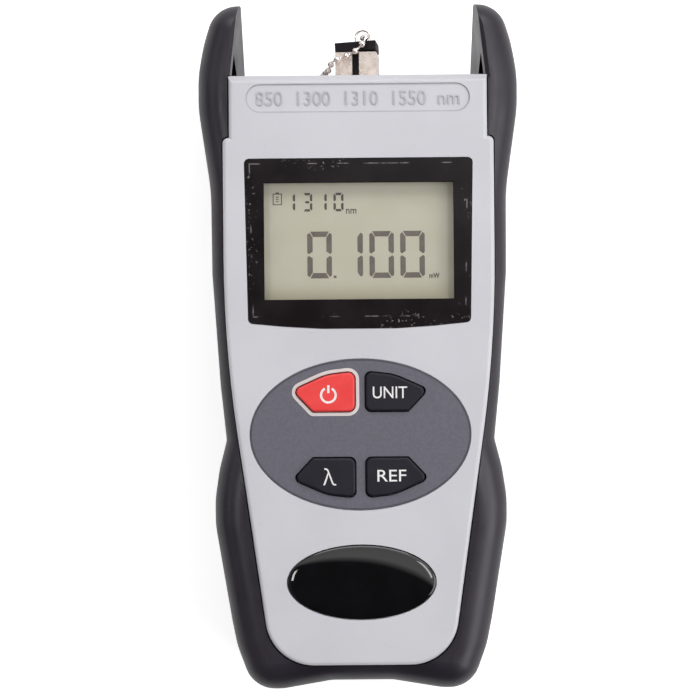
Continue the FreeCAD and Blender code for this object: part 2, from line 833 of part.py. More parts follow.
def board_chips():
    """Controller, amplifier, converter and small parts on the board's underside.

    Each is (x, y, length, width, height), in hundredths of the board's width.
    """
    layout = [(-22, 32, 16, 16, 2.4), (15, 48, 13, 8, 2.6), (6, 76, 8, 6, 2.4),
              (-32, 61, 10, 6, 2), (32, 23, 6, 14, 3.5), (0, 13, 19, 5, 1.6)]
    unit = X.board_width / 100
    chips = []
    for number, (x, y, length, width, height) in enumerate(layout, start=1):
        chips.append(box(f"chip_{number}", ((x - length / 2) * unit, (x + length / 2) * unit),
                         ((y - width / 2) * unit, (y + width / 2) * unit),
                         (S.board_level - height * unit, S.board_level)))
    return group("board_chips", chips)


stems_at = [(side * S.stem_x, Y.keypad_y + row * S.stem_y) for side, row in KEYS.values()]
mat_top = board_face + S.mat_thickness
stem_foot = mat_top + S.bump_height


def dome_switches():
    return group("dome_switches", rods_at("dome", stems_at, board_face, board_face + S.dome_height,
                                          S.dome_radius))


def key_mat():
    """Silicone sheet with a bump under each key and a pocket over each dome."""
    sheet_block = box("mat_sheet", (-S.mat_width / 2, S.mat_width / 2),
                      (Y.keypad_y - S.mat_height / 2, Y.keypad_y + S.mat_height / 2), (board_face, mat_top))
    bumps = rods_at("mat_bump", stems_at, mat_top - PAST / 2, stem_foot, S.bump_radius)
    pockets = rods_at("mat_pocket", stems_at, board_face - PAST, board_face + S.dome_height,
                      S.dome_radius + S.part_gap)
    return cut("key_mat", fuse("mat_blank", [sheet_block] + bumps), pockets)


def key(name, side, row):
    outline = key_outline(side, row)
    flange_top = front_inside - S.part_gap
    flange_low = flange_top - S.flange_thickness
    top = S.cover_face + S.key_height
    cap = slab(name + "_cap", outline, flange_low, top, [(top - flange_low, S.key_edge, "Fillet")])
    flange = slab(name + "_flange", grown(outline, S.key_flange), flange_low, flange_top)
    stem = rod(name + "_stem", "z", (side * S.stem_x, Y.keypad_y + row * S.stem_y, stem_foot),
               S.stem_radius, flange_low - stem_foot + PAST / 2)
    return fuse(name, [cap, flange, stem])


def keypad_panel():
    plate = disc("panel_plate", ZERO, Y.keypad_y, panel_seat, X.keypad_length / 2, S.keypad_width / 2,
                 S.panel_thickness)
    return cut("keypad_panel", plate, key_openings(panel_seat - PAST, S.cover_face + PAST, "panel_opening"))


def badge_label():
    return disc("badge_label", ZERO, Y.badge_y, S.cover_face - S.badge_recess, S.badge_length / 2,
                S.badge_width / 2, S.label_thickness)


def badge_dome():
    """Clear resin dome that covers the label."""
    dome = doc.addObject("Part::Ellipsoid", "badge_dome")
    bind(dome, "Radius1", S.dome_rise)
    bind(dome, "Radius2", S.badge_length / 2)
    bind(dome, "Radius3", S.badge_width / 2)
    bind(dome, "Angle1", ZERO)
    return place(dome, ZERO, Y.badge_y, S.cover_face - S.badge_recess + S.label_thickness)


# ---------------------------------------------------------------- fibre port

housing_start = Y.case_top + S.housing_proud - S.housing_length
shank_start = Y.adapter_shoulder - S.shank_length


def detector_housing():
    """Flanged bushing in the case's end that holds the detector and takes the adapter."""
    barrel = rod("housing_barrel", "y", (ZERO, housing_start, S.port_level), S.housing_radius,
                 S.housing_length)
    flange = rod("housing_flange_disc", "y", (ZERO, end_inside - S.flange_depth, S.port_level),
                 S.housing_flange, S.flange_depth)
    cutters = [
        rod("housing_thread_bore", "y", (ZERO, shank_start, S.port_level), S.housing_bore,
            S.shank_length + PAST),
        rod("housing_detector_bore", "y", (ZERO, housing_start - PAST, S.port_level),
            S.detector_radius + S.screw_gap, S.housing_length),
    ]
    for side in (-1, 1):
        cutters.append(rod(f"housing_screw_hole_{side + 2}", "y",
                           (side * S.port_screw_x, end_inside - S.flange_depth - PAST, S.port_level),
                           S.port_screw_radius + S.screw_gap, S.flange_depth + 2 * PAST))
    return cut("detector_housing", fuse("housing_blank", [barrel, flange]), cutters)


def port_screws():
    return group("port_screws", [
        screw(f"port_screw_{side + 2}", "y", (side * S.port_screw_x, Y.case_top, S.port_level),
              S.port_screw_radius, S.port_screw_head, S.port_screw_length, -1) for side in (-1, 1)])


def photodiode():
    """Metal can with its window towards the fibre, and two leads."""
    front = shank_start - S.part_gap
    can = rod("detector_can", "y", (ZERO, front - S.detector_length, S.port_level), S.detector_radius,
              S.detector_length)
    eye = rod("detector_eye", "y", (ZERO, front - PAST / 2, S.port_level), S.detector_window, PAST)
    back = front - S.detector_length - S.lead_length
    leads = [rod(f"detector_lead_{side + 2}", "y", (side * S.lead_pitch / 2, back, S.port_level),
                 S.lead_radius, S.lead_length + PAST) for side in (-1, 1)]
    return fuse("photodiode", [cut("detector_case", can, [eye])] + leads)


def on_port_axis(solid, turn, tilt=0.0, pivot=0.0):
    """Lifts a piece built about the Y axis to the port's axis.

    It is turned about that axis, and tilted in its own plane about a pivot along it.
    """
    rotation = FreeCAD.Rotation(FreeCAD.Vector(0, 1, 0), float(turn))
    rotation = rotation.multiply(FreeCAD.Rotation(FreeCAD.Vector(0, 0, 1), float(tilt)))
    solid.Placement = FreeCAD.Placement(FreeCAD.Vector(), rotation)
    swing = FreeCAD.Vector(0, 1, 0) - rotation.multVec(FreeCAD.Vector(0, 1, 0))
    return place(solid, pivot * swing.x, pivot * swing.y, pivot * swing.z + S.port_level)


def centred_block(name, width, y, height):
    """A block centred on the Y axis."""
    return box(name, (-width / 2, width / 2), y, (-height / 2, height / 2))


def adapter_body():
    """Square fibre receptacle on a round shank that screws into the housing."""
    head = centred_block("adapter_head", S.adapter_width, (Y.adapter_shoulder, Y.adapter_mouth),
                         S.adapter_depth)
    shank = rod("adapter_shank", "y", (ZERO, shank_start, ZERO), S.housing_bore - S.screw_gap,
                S.shank_length)
    cavity = centred_block("adapter_cavity", S.receptacle_width,
                           (Y.adapter_mouth - S.receptacle_depth, Y.adapter_mouth + PAST),
                           S.receptacle_height)
    bore = rod("adapter_bore", "y", (ZERO, shank_start - PAST, ZERO), S.sleeve_radius,
               S.shank_length + 2 * PAST)
    slot = box("adapter_key_slot", (-S.key_slot / 2, S.key_slot / 2),
               (Y.adapter_shoulder + PAST / 2, Y.adapter_mouth + PAST), (ZERO, S.adapter_depth))
    body = cut("adapter_body", fuse("adapter_blank", [head, shank]), [cavity, bore, slot])
    return on_port_axis(body, S.adapter_turn)


def ferrule_sleeve():
    tip = Y.adapter_mouth - S.sleeve_recess
    tube = ring("ferrule_sleeve", "y", (ZERO, shank_start, ZERO), S.sleeve_radius, S.ferrule_radius,
                tip - shank_start)
    return on_port_axis(tube, S.adapter_turn)


cap_low = Y.adapter_mouth + S.cap_lift


def cap_torus(name, wire):
    torus = doc.addObject("Part::Torus", name)
    bind(torus, "Radius1", S.ring_radius)
    bind(torus, "Radius2", wire)
    return place(torus, S.ring_x, cap_low + S.cap_thickness + S.ring_rise, ZERO)


def dust_cap():
    """Rubber plug with a square head; hollow, so that it passes over the sleeve."""
    head = centred_block("cap_head", S.adapter_width, (cap_low, cap_low + S.cap_thickness),
                         S.adapter_depth)
    plug_y = (cap_low - S.cap_plug_length, cap_low + PAST / 2)
    plug = centred_block("cap_plug", S.cap_plug_width, plug_y, S.cap_plug_height)
    hollow = centred_block("cap_hollow", S.cap_plug_width - 2 * S.cap_wall,
                           (plug_y[0] - PAST, cap_low), S.cap_plug_height - 2 * S.cap_wall)
    cap = cut("dust_cap", fuse("cap_blank", [head, plug]),
              [hollow, cap_torus("cap_ring_seat", S.ring_wire + S.screw_gap)])
    return on_port_axis(cap, S.adapter_turn, S.cap_tilt, cap_low)


def cap_ring():
    wire_ring = cap_torus("cap_ring_wire", S.ring_wire)
    return on_port_axis(group("cap_ring", [wire_ring]), S.adapter_turn, S.cap_tilt, cap_low)


def chain_route():
    """Points from the cap's ring, over the adapter's front, down to the anchor.

    Each is set off from what it hangs beside, in steps of chain_step.
    """
    front = float(S.port_level + S.adapter_depth / 2)
    cap_top = float(cap_low + S.cap_thickness)
    left = -float(S.adapter_width / 2)
    end = float(Y.case_top)
    anchor_x = -float(S.anchor_x)
    anchor_z = float(S.anchor_level)
    step = float(S.chain_step)
    return [FreeCAD.Vector(x + step * across, y + step * along, z + step * up)
            for x, y, z, across, along, up in (
                (0, cap_top, front, 0.64, 0.68, -1.88),
                (0, cap_top, front, 0.84, 0.52, -0.88),
                (0, cap_top, front, 0.92, 0.48, 0.12),
                (0, cap_top, front, 0.8, 0, 0.64),
                (0, cap_top, front, 0.2, -0.76, 0.56),
                (left, cap_top, front, 1.4, -1.48, 0.36),
                (left, cap_top, front, 0.36, -1.84, 0.24),
                (left, cap_top, front, -0.44, -2.2, 0.04),
                (left, cap_top, front, -0.76, -2.6, -0.72),
                (left, cap_top, front, -1.12, -3.08, -1.64),
                (left, end, front, -1.4, 1.16, -2.64),
                (left, end, front, -1.76, 0.88, -3.8),
                (anchor_x, end, anchor_z, 2.24, 0.72, 1.84),
                (anchor_x, end, anchor_z, 1.76, 0.72, 0.36),
                (anchor_x, end, anchor_z, 1.04, 0.8, -0.8),
                (anchor_x, end, anchor_z, 0.08, 0.76, -1.32))]


def bead_chain():
    """Hollow beads on wire links, evenly spaced along the route."""
    curve = Part.BSplineCurve()
    curve.interpolate(chain_route())
    count = max(2, round(curve.length() / float(S.bead_pitch)) + 1)
    beads = curve.toShape().discretize(Number=count)
    solids = []
    for number, bead in enumerate(beads):
        along = beads[min(number + 1, count - 1)] - beads[max(number - 1, 0)]
        across = along.cross(FreeCAD.Vector(0, 1, 0))
        ball = Part.makeSphere(float(S.bead_radius))
        turn = FreeCAD.Rotation(across, along, across.cross(along), "ZYX")
        ball.Placement = FreeCAD.Placement(bead, turn)
        solids.append(ball)
    for start, end in zip(beads, beads[1:]):
        run = end - start
        solids.append(Part.makeCylinder(float(S.link_radius), run.Length, start, run))
    chain = doc.addObject("Part::Feature", "bead_chain")
    chain.Shape = solids[0].multiFuse(solids[1:])
    return chain


def chain_anchor():
    """Screw in the case's end that pins the chain's end ferrule."""
    tag = rod("anchor_tag", "y", (-S.anchor_x, Y.case_top, S.anchor_level), S.anchor_radius,
              S.anchor_thickness)
    head = rod("anchor_head", "y", (-S.anchor_x, Y.case_top + S.anchor_thickness, S.anchor_level),
               S.port_screw_head, S.screw_head_height)
    shank = rod("anchor_shank", "y", (-S.anchor_x, end_inside, S.anchor_level), S.port_screw_radius,
                S.wall + S.anchor_thickness)
    return fuse("chain_anchor", [tag, head, shank])


# ---------------------------------------------------------------- boot

def boot_outline():
    half = S.boot_length / 2
    return both_sides([
        (X.tip_width / 2, half, S.tip_radius),
        (X.horn_bend_width / 2, Y.horn_bend_y, S.horn_radius),
        (S.boot_width / 2, Y.horn_top_y, S.horn_radius),
        (S.boot_width / 2, Y.horn_foot_y, S.horn_radius),
        (X.waist_width / 2, Y.waist_top_y, S.waist_radius),
        (X.waist_foot_width / 2, Y.waist_foot_y, S.waist_radius),
        (X.hip_width / 2, Y.hip_y, S.waist_radius),
        (X.neck_width / 2, Y.neck_y, S.neck_radius),
        (X.grip_rise_width / 2, Y.grip_rise_y, S.grip_radius),
        (X.grip_width / 2, Y.grip_top_y, S.grip_radius),
        (X.grip_width / 2, Y.grip_foot_y, S.grip_radius),
        (X.heel_width / 2, Y.heel_y, S.grip_radius),
        (X.heel_foot_width / 2, Y.heel_foot_y, S.grip_radius),
        (X.foot_width / 2, -half, X.foot_radius),
        (X.lobe_width / 2, -half, X.lobe_radius),
        (X.arch_width / 2, S.arch_height - half, X.lobe_radius),
    ])


def boot():
    """One rubber moulding: a tray round the case, two horns beside the port."""
    outer = slab("boot_block", boot_outline(), ZERO, S.boot_height,
                 [(ZERO, S.back_roll, "Fillet"), (S.boot_height, S.front_roll, "Fillet")])
    half = S.boot_length / 2
    gap = X.horn_gap / 2
    case_room = slab("boot_case_room", grown(CASE, S.boot_gap), S.boot_back, S.boot_height + PAST)
    draft_shift = (S.boot_height + 2 * PAST) * math.tan(math.radians(float(S.horn_draft)))
    between = slab("boot_horn_gap", both_sides([
        (X.tip_gap / 2 - draft_shift, half + 2 * PAST, 0), (gap - draft_shift, Y.case_top, 0),
    ]), -PAST, S.boot_height + PAST, draft=S.horn_draft)
    window = box("boot_back_window", (-S.back_window_width / 2, S.back_window_width / 2),
                 (-Y.back_window_foot, Y.back_window_top), (-PAST, S.boot_back + PAST))
    nose = slab("boot_nose", [
        (PAST, half - S.nose_length, 0), (S.front_roll - S.boot_height, half + PAST, 0),
        (PAST, half + PAST, 0),
    ], ZERO, S.boot_width)
    nose.Placement = FreeCAD.Placement(FreeCAD.Vector(), TURNS["x"])
    place(nose, -S.boot_width / 2, ZERO, ZERO)
    bevel = slab("boot_horn_bevel", both_sides([(X.tip_gap / 2, half + 2 * PAST, 0), (gap, Y.case_top, 0)]),
                 S.boot_height - S.horn_bevel, S.boot_height + PAST, draft=45)
    cutters = [case_room, between, window, nose, bevel]
    for side in (-1, 1):
        mouth = (side * (gap - PAST), Y.pocket_top, 0)
        pocket = [mouth, (side * (gap + S.pocket_depth), Y.case_top + S.pocket_depth, 0),
                  (side * (gap + S.pocket_depth), Y.case_top - PAST, 0),
                  (side * (gap - PAST), Y.case_top - PAST, 0)]
        cutters.append(slab(f"boot_pocket_{side + 2}", pocket, S.pocket_floor,
                            S.boot_height - S.pocket_rim))
    return cut("boot", outer, cutters)


# ---------------------------------------------------------------- assembly

nodes = [
    boot(), rear_cover(), front_cover(), display_window(), window_gasket(), lcd_panel(), lcd_frame(),
    contact_strips(), main_board(), board_chips(), dome_switches(), key_mat(), keypad_panel(),
    badge_label(), badge_dome(), detector_housing(), photodiode(), adapter_body(), ferrule_sleeve(),
    dust_cap(), cap_ring(), bead_chain(), chain_anchor(), battery_cells(), battery_contacts(),
    battery_door(), case_screws(), board_screws(), port_screws(),
]
nodes += [key(name, side, row) for name, (side, row) in KEYS.items()]
doc.recompute()

failed = [obj.Name for obj in doc.Objects if {"Invalid", "Error"} & set(obj.State)]
if failed:
    raise RuntimeError(f"these objects failed to build: {', '.join(failed)}")
for node in nodes:
    if node.Shape.isNull() or not node.Shape.isValid() or not node.Shape.Solids:
        raise RuntimeError(f"{node.Label} has no valid solid")

os.makedirs("parts", exist_ok=True)
for node in nodes:
    node.Shape.exportStep(f"parts/{node.Label}.step")
    print(f"{node.Label}: {len(node.Shape.Solids)} solid(s), {node.Shape.Volume:.1f} mm3")
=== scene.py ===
"""Looks, camera, light and floor of a handheld optical power meter in its rubber boot."""
import math

import bpy
import numpy as np
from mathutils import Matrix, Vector


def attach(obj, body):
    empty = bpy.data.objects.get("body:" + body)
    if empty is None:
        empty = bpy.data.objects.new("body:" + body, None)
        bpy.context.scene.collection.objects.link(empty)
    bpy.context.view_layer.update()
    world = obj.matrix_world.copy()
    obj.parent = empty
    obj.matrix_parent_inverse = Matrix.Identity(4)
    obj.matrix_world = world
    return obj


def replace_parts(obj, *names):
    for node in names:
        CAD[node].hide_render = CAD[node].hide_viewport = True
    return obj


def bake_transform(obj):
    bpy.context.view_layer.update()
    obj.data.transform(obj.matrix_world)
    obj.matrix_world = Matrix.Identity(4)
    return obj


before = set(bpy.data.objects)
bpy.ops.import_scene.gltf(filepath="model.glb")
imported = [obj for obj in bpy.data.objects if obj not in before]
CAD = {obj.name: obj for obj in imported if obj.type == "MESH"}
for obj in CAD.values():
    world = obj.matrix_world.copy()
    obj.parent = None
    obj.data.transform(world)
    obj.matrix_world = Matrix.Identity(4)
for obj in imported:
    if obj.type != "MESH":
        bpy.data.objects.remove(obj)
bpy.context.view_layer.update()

MM = 0.001

# Levels above the table and places on the front, in millimetres.
FACE = 40.5             # flat front of the case
TITLE_FLOOR = 40.1
KEY_TOP = 41.4
GLASS_TOP = 37.35       # front of the display glass
LABEL_TOP = 40.2
KEYPAD_Y = -23.5
BADGE_Y = -63.0
VIEW_HALF = (25.4, 15.65)
VIEW_Y = 28.3
FILM = 0.03             # thickness of print


# ---------------------------------------------------------------- materials

def linear(colour):
    """sRGB hex as linear RGBA: c / 12.92 up to 0.04045, else ((c + 0.055) / 1.055) ** 2.4."""
    srgb = np.array([int(colour[i:i + 2], 16) for i in (1, 3, 5)]) / 255
    return (*np.where(srgb <= 0.04045, srgb / 12.92, ((srgb + 0.055) / 1.055) ** 2.4), 1.0)


def add(tree, kind, inputs=(), **settings):
    """Adds a node; settings are its properties, and inputs gives its sockets a value or a link."""
    made = tree.nodes.new(kind)
    for name, value in settings.items():
        setattr(made, name, value)
    for name, value in dict(inputs).items():
        if isinstance(value, bpy.types.NodeSocket):
            tree.links.new(value, made.inputs[name])
        else:
            made.inputs[name].default_value = value
    return made


def blank(name):
    """An empty node material, its tree, its output node and the Object coordinates."""
    material = bpy.data.materials.new(name)
    material.use_nodes = True
    tree = material.node_tree
    tree.nodes.clear()
    return material, tree, add(tree, "ShaderNodeOutputMaterial"), \
        add(tree, "ShaderNodeTexCoord").outputs["Object"]


def per(size):
    """Noise scale whose features are about size millimetres across."""
    return 1000 / size


def clouds(tree, place, size, low, high, detail=4.0):
    """Noise with features of size mm, 0 below low and 1 above high."""
    noise = add(tree, "ShaderNodeTexNoise", {"Vector": place, "Scale": per(size), "Detail": detail})
    return add(tree, "ShaderNodeMapRange",
               {"Value": noise.outputs["Fac"], "From Min": low, "From Max": high},
               interpolation_type="SMOOTHSTEP").outputs["Result"]


def clouded(tree, place, base, tint, patch, low=0.35, high=0.65):
    """Two sRGB hex colours in clouds of patch mm: base below low and tint above high."""
    return add(tree, "ShaderNodeMix", {0: clouds(tree, place, patch, low, high),
                                       6: linear(base), 7: linear(tint)}, data_type="RGBA").outputs[2]


def finish(name, base, tint, patch, grain, depth, rough, spread=0.05, specks=None, **shader):
    """A material of base colour clouded with tint.

    patch is the size of the clouds, grain the size and depth the height of its fine bumps, all in
    millimetres. Roughness wanders by spread. specks is (colour, size, least noise) of loose dust or
    wear. shader sets the other sockets of the shader by name.
    """
    material, tree, out, place = blank(name)
    colour = clouded(tree, place, base, tint, patch)
    if specks:
        dust, size, least = specks
        colour = add(tree, "ShaderNodeMix", {0: clouds(tree, place, size, least, least + 0.05, 2.0),
                                             6: colour, 7: linear(dust)}, data_type="RGBA").outputs[2]
    gloss = add(tree, "ShaderNodeMapRange",
                {"Value": clouds(tree, place, patch * 0.6, 0.3, 0.7),
                 "To Min": max(rough - spread, 0.02), "To Max": rough + spread})
    values = {"Base Color": colour, "Roughness": gloss.outputs["Result"]}
    if depth:
        fine = add(tree, "ShaderNodeTexNoise", {"Vector": place, "Scale": per(grain), "Detail": 3.0})
        values["Normal"] = add(tree, "ShaderNodeBump",
                               {"Height": fine.outputs["Fac"], "Distance": depth * MM,
                                "Strength": 1.0}).outputs["Normal"]
    skin = add(tree, "ShaderNodeBsdfPrincipled", {**values, **shader})
    tree.links.new(skin.outputs["BSDF"], out.inputs["Surface"])
    return material


# Moulded thermoplastic rubber: dull charcoal with a faint warm cast and a little pale dust.
rubber = finish("charcoal TPE rubber, moulded", "#231E27", "#29242D", 18, 0.45, 0.02, 0.36,
                specks=("#4E4B51", 0.8, 0.74), **{"Specular IOR Level": 0.4})
# Painted ABS: an even, satin cool grey with a very fine orange peel.
cover_paint = finish("light grey satin paint on ABS", "#CFCED4", "#D4D3D9", 30, 0.5, 0.006, 0.42,
                     specks=("#BDBBC2", 0.7, 0.72))
# Bare moulded ABS: the same grey a step down, and duller.
rear_paint = finish("light grey moulded ABS", "#C6C5CB", "#CCCBD1", 24, 0.4, 0.012, 0.5)
# Polyester overlay: dark grey with a fine printed stipple, drawn at 0.8 mm so that it shows.
overlay = finish("stippled grey polyester overlay", "#605F69", "#666570", 0.8, 0.5, 0.012, 0.5)
# Moulded silicone under ink: soft black that hardly shines.
key_black = finish("black silicone key, printed", "#1A1821", "#1E1C26", 6, 0.4, 0.006, 0.5,
                   **{"Specular IOR Level": 0.25})
# Moulded silicone in clear red: clean and strong, with a little more shine.
key_red = finish("red silicone key, printed", "#EF3F3E", "#F34947", 6, 0.4, 0.006, 0.42)
# Nickel plate on turned brass: warm white metal with faint rubbed marks. Its thin oxide scatters
# light, so it is not all mirror.
nickel = finish("nickel plated brass, bright", "#F2E4DA", "#E6D8CE", 3, 0.5, 0.003, 0.28, Metallic=0.62)
# Nickel plate on pressed steel balls: small mirrors, with black and white side by side.
chain_metal = finish("nickel plated steel beads", "#E9E2DE", "#D6CFCB", 1.2, 0.3, 0.0, 0.2, Metallic=1.0)
# Moulded nitrile: near black, and dull.
cap_rubber = finish("black nitrile rubber, moulded", "#151115", "#1B171B", 4, 0.3, 0.01, 0.55,
                    **{"Specular IOR Level": 0.15})
# Ground zirconia: plain white, smooth and a little glossy.
zirconia = finish("white zirconia ceramic, ground", "#EDEBE6", "#F4F2EE", 2, 0.2, 0.0, 0.18)
# Closed-cell foam: flat black with an open grain.
foam = finish("black foam gasket", "#1A191B", "#222124", 0.7, 0.25, 0.06, 0.85)
# Moulded glass-filled nylon: charcoal with a dry sheen.
frame_plastic = finish("black glass-filled nylon, moulded", "#2A292C", "#333236", 3, 0.3, 0.02, 0.55)
# Solder mask over glass epoxy: even green with a soft gloss.
laminate = finish("green solder mask on glass epoxy", "#1F5A36", "#256B41", 5, 0.4, 0.01, 0.35)
# Moulded epoxy packages: flat black-grey.
chip = finish("black moulded epoxy, marked flat", "#1C1C1E", "#252528", 2, 0.2, 0.012, 0.6)
# Tin on rolled spring steel: pale and slightly milky metal.
contact_metal = finish("tin plated spring steel", "#C9C9C7", "#B9B9B8", 2, 0.2, 0.004, 0.32,
                       Metallic=1.0)
# Moulded silicone sheet: cloudy grey, soft and dull.
silicone = finish("pale grey silicone sheet", "#8C8C92", "#96969C", 6, 0.4, 0.01, 0.6)
# Printed vinyl: black, with no shine of its own under the resin.
label = finish("black printed vinyl under resin", "#09080A", "#0E0D10", 8, 0.5, 0.0, 0.6,
               **{"Specular IOR Level": 0.0})
# Clear polyurethane poured over black print: wet-looking, with only the black to see in it.
resin = finish("clear polyurethane doming over black", "#09080A", "#0D0C0F", 8, 0.5, 0.0, 0.05, 0.01)
# Shrunk plastic sleeve: smooth green, fairly glossy.
jacket = finish("plain green shrink sleeve on cell", "#3C6E4B", "#447A54", 8, 0.5, 0.01, 0.3)
# Zinc plate on turned steel: grey-white metal, lightly mottled.
screw_steel = finish("zinc plated steel screw", "#B4B3B0", "#9E9D9B", 2, 0.3, 0.006, 0.35, Metallic=1.0)
# Screen inks: flat and even, white on the keys and off-white round the red one.
print_white = finish("white screen ink", "#EEEBEA", "#F4F2F1", 4, 0.3, 0.0, 0.5)
print_cream = finish("off-white screen ink", "#DAD3D0", "#E2DBD8", 5, 0.3, 0.0, 0.5)
# Switched liquid crystal: soft warm grey in the large figures, near black in the small ones.
segment_dark = finish("switched liquid crystal, dark grey", "#655D56", "#6E665F", 3, 0.4, 0.0, 0.4)
segment_fine = finish("switched liquid crystal, near black", "#4B463F", "#565048", 2, 0.4, 0.0, 0.4)
# Painted shade where relief shades the cover: its grey a step down, at the foot of the title's groove
# and on the raised letters.
groove_shade = finish("shaded foot of the title's groove", "#B3B2B9", "#BAB9C0", 8, 0.5, 0.0, 0.5)
title_painted_shade = finish("cover grey in painted shade, raised letters", "#B8B7BE", "#BFBEC5", 8, 0.5, 0.004, 0.42)
# Painted shade round the overlay's edge: a thin line, darker than its field.
edge_shade = finish("painted shade at the overlay's edge", "#45444D", "#4D4C55", 5, 0.3, 0.0, 0.5)


def lcd_material():
    """Unlit reflective display: grey-green film, with painted shade that makes it warmer and darker in
    the lowest 7 mm of its view.
    """
    material, tree, out, place = blank("grey-green polariser over liquid crystal")
    split = add(tree, "ShaderNodeSeparateXYZ", {"Vector": place})
    above = add(tree, "ShaderNodeMapRange",
                {"Value": split.outputs["Y"], "From Min": (VIEW_Y - 16) * MM,
                 "From Max": (VIEW_Y - 9) * MM}, interpolation_type="SMOOTHSTEP")
    # Painted shade: the lowest 7 mm of the view take the darker, warmer colour.
    colour = add(tree, "ShaderNodeMix",
                 {0: above.outputs["Result"], 6: linear("#B5AF98"),
                  7: clouded(tree, place, "#BEBAA7", "#C2BEAD", 9)}, data_type="RGBA")
    skin = add(tree, "ShaderNodeBsdfPrincipled", {"Base Color": colour.outputs[2], "Roughness": 0.4})
    tree.links.new(skin.outputs["BSDF"], out.inputs["Surface"])
    return material


def clear_gloss(tree, ior, rough):
    """Clear sheet without bending: straight through, with Fresnel gloss on its outward faces only."""
    facing = add(tree, "ShaderNodeNewGeometry").outputs["Backfacing"]
    outward = add(tree, "ShaderNodeMath", {0: 1.0, 1: facing}, operation="SUBTRACT")
    fresnel = add(tree, "ShaderNodeFresnel", {"IOR": ior})
    share = add(tree, "ShaderNodeMath", {0: fresnel.outputs[0], 1: outward.outputs[0]},
                operation="MULTIPLY")
    through = add(tree, "ShaderNodeBsdfTransparent")
    shine = add(tree, "ShaderNodeBsdfGlossy", {"Roughness": rough})
    return add(tree, "ShaderNodeMixShader", {0: share.outputs[0], 1: through.outputs[0],
                                             2: shine.outputs[0]}).outputs[0]


# The glue line behind the window: half width at y = 0, how fast that grows with y, top and foot.
GLUE_HALF, GLUE_SLOPE, GLUE_TOP, GLUE_FOOT = 28.25, 0.0182, 49.0, 8.1


def window_material():
    """Clear acrylic sheet with black print behind its border and a worn line of pale glue.

    The clear part is |x| < 25.4 and |y - 28.3| < 15.65 mm. Elsewhere d is the largest of the
    distances past the glue line's sides, top and foot; the line is where |d| < 0.2 mm. Flecks lie in
    the 2 mm inside it.
    """
    material, tree, out, place = blank("black-printed acrylic window, polished")
    split = add(tree, "ShaderNodeSeparateXYZ", {"Vector": place})
    x = add(tree, "ShaderNodeMath", {0: split.outputs["X"]}, operation="ABSOLUTE").outputs[0]
    y = split.outputs["Y"]
    side = add(tree, "ShaderNodeMath", {0: y, 1: -GLUE_SLOPE, 2: x}, operation="MULTIPLY_ADD")
    past_side = add(tree, "ShaderNodeMath", {0: side.outputs[0], 1: GLUE_HALF * MM},
                    operation="SUBTRACT")
    past_top = add(tree, "ShaderNodeMath", {0: y, 1: GLUE_TOP * MM}, operation="SUBTRACT")
    past_foot = add(tree, "ShaderNodeMath", {0: GLUE_FOOT * MM, 1: y}, operation="SUBTRACT")
    past_upper = add(tree, "ShaderNodeMath", {0: past_side.outputs[0], 1: past_top.outputs[0]},
                     operation="MAXIMUM")
    past = add(tree, "ShaderNodeMath", {0: past_upper.outputs[0], 1: past_foot.outputs[0]},
               operation="MAXIMUM").outputs[0]
    away = add(tree, "ShaderNodeMath", {0: past}, operation="ABSOLUTE")
    line = add(tree, "ShaderNodeMapRange",
               {"Value": away.outputs[0], "From Min": 0.08 * MM, "From Max": 0.2 * MM,
                "To Min": 1.0, "To Max": 0.0})
    worn = add(tree, "ShaderNodeMath", {0: clouds(tree, place, 5, 0.54, 0.64),
                                        1: line.outputs["Result"]}, operation="MULTIPLY")
    zone = add(tree, "ShaderNodeMapRange", {"Value": past, "From Min": -2.2 * MM,
                                            "From Max": -0.4 * MM})
    bare = add(tree, "ShaderNodeMath", {0: clouds(tree, place, 16, 0.5, 0.56),
                                        1: zone.outputs["Result"]}, operation="MULTIPLY")
    flecks = add(tree, "ShaderNodeMath", {0: clouds(tree, place, 0.9, 0.61, 0.66),
                                          1: bare.outputs[0]}, operation="MULTIPLY")
    marks = add(tree, "ShaderNodeMath", {0: worn.outputs[0], 1: flecks.outputs[0]},
                operation="MAXIMUM")
    pale = add(tree, "ShaderNodeMath", {0: marks.outputs[0], 1: 0.45}, operation="MULTIPLY")
    colour = add(tree, "ShaderNodeMix",
                 {0: pale.outputs[0], 6: clouded(tree, place, "#1C1819", "#242022", 10),
                  7: linear("#A8A4A8")}, data_type="RGBA")
    border = add(tree, "ShaderNodeBsdfPrincipled",
                 {"Base Color": colour.outputs[2], "Roughness": 0.08, "Specular IOR Level": 0.15})
    drop = add(tree, "ShaderNodeMath", {0: y, 1: VIEW_Y * MM}, operation="SUBTRACT")
    drop = add(tree, "ShaderNodeMath", {0: drop.outputs[0]}, operation="ABSOLUTE")
    wide = add(tree, "ShaderNodeMath", {0: x, 1: VIEW_HALF[0] * MM}, operation="SUBTRACT")
    tall = add(tree, "ShaderNodeMath", {0: drop.outputs[0], 1: VIEW_HALF[1] * MM},
               operation="SUBTRACT")
    outside = add(tree, "ShaderNodeMath", {0: wide.outputs[0], 1: tall.outputs[0]},
                  operation="MAXIMUM")
    printed = add(tree, "ShaderNodeMath", {0: outside.outputs[0], 1: 0.0}, operation="GREATER_THAN")
    both = add(tree, "ShaderNodeMixShader", {0: printed.outputs[0], 1: clear_gloss(tree, 1.2, 0.12),
                                             2: border.outputs[0]})
    tree.links.new(both.outputs[0], out.inputs["Surface"])
    return material


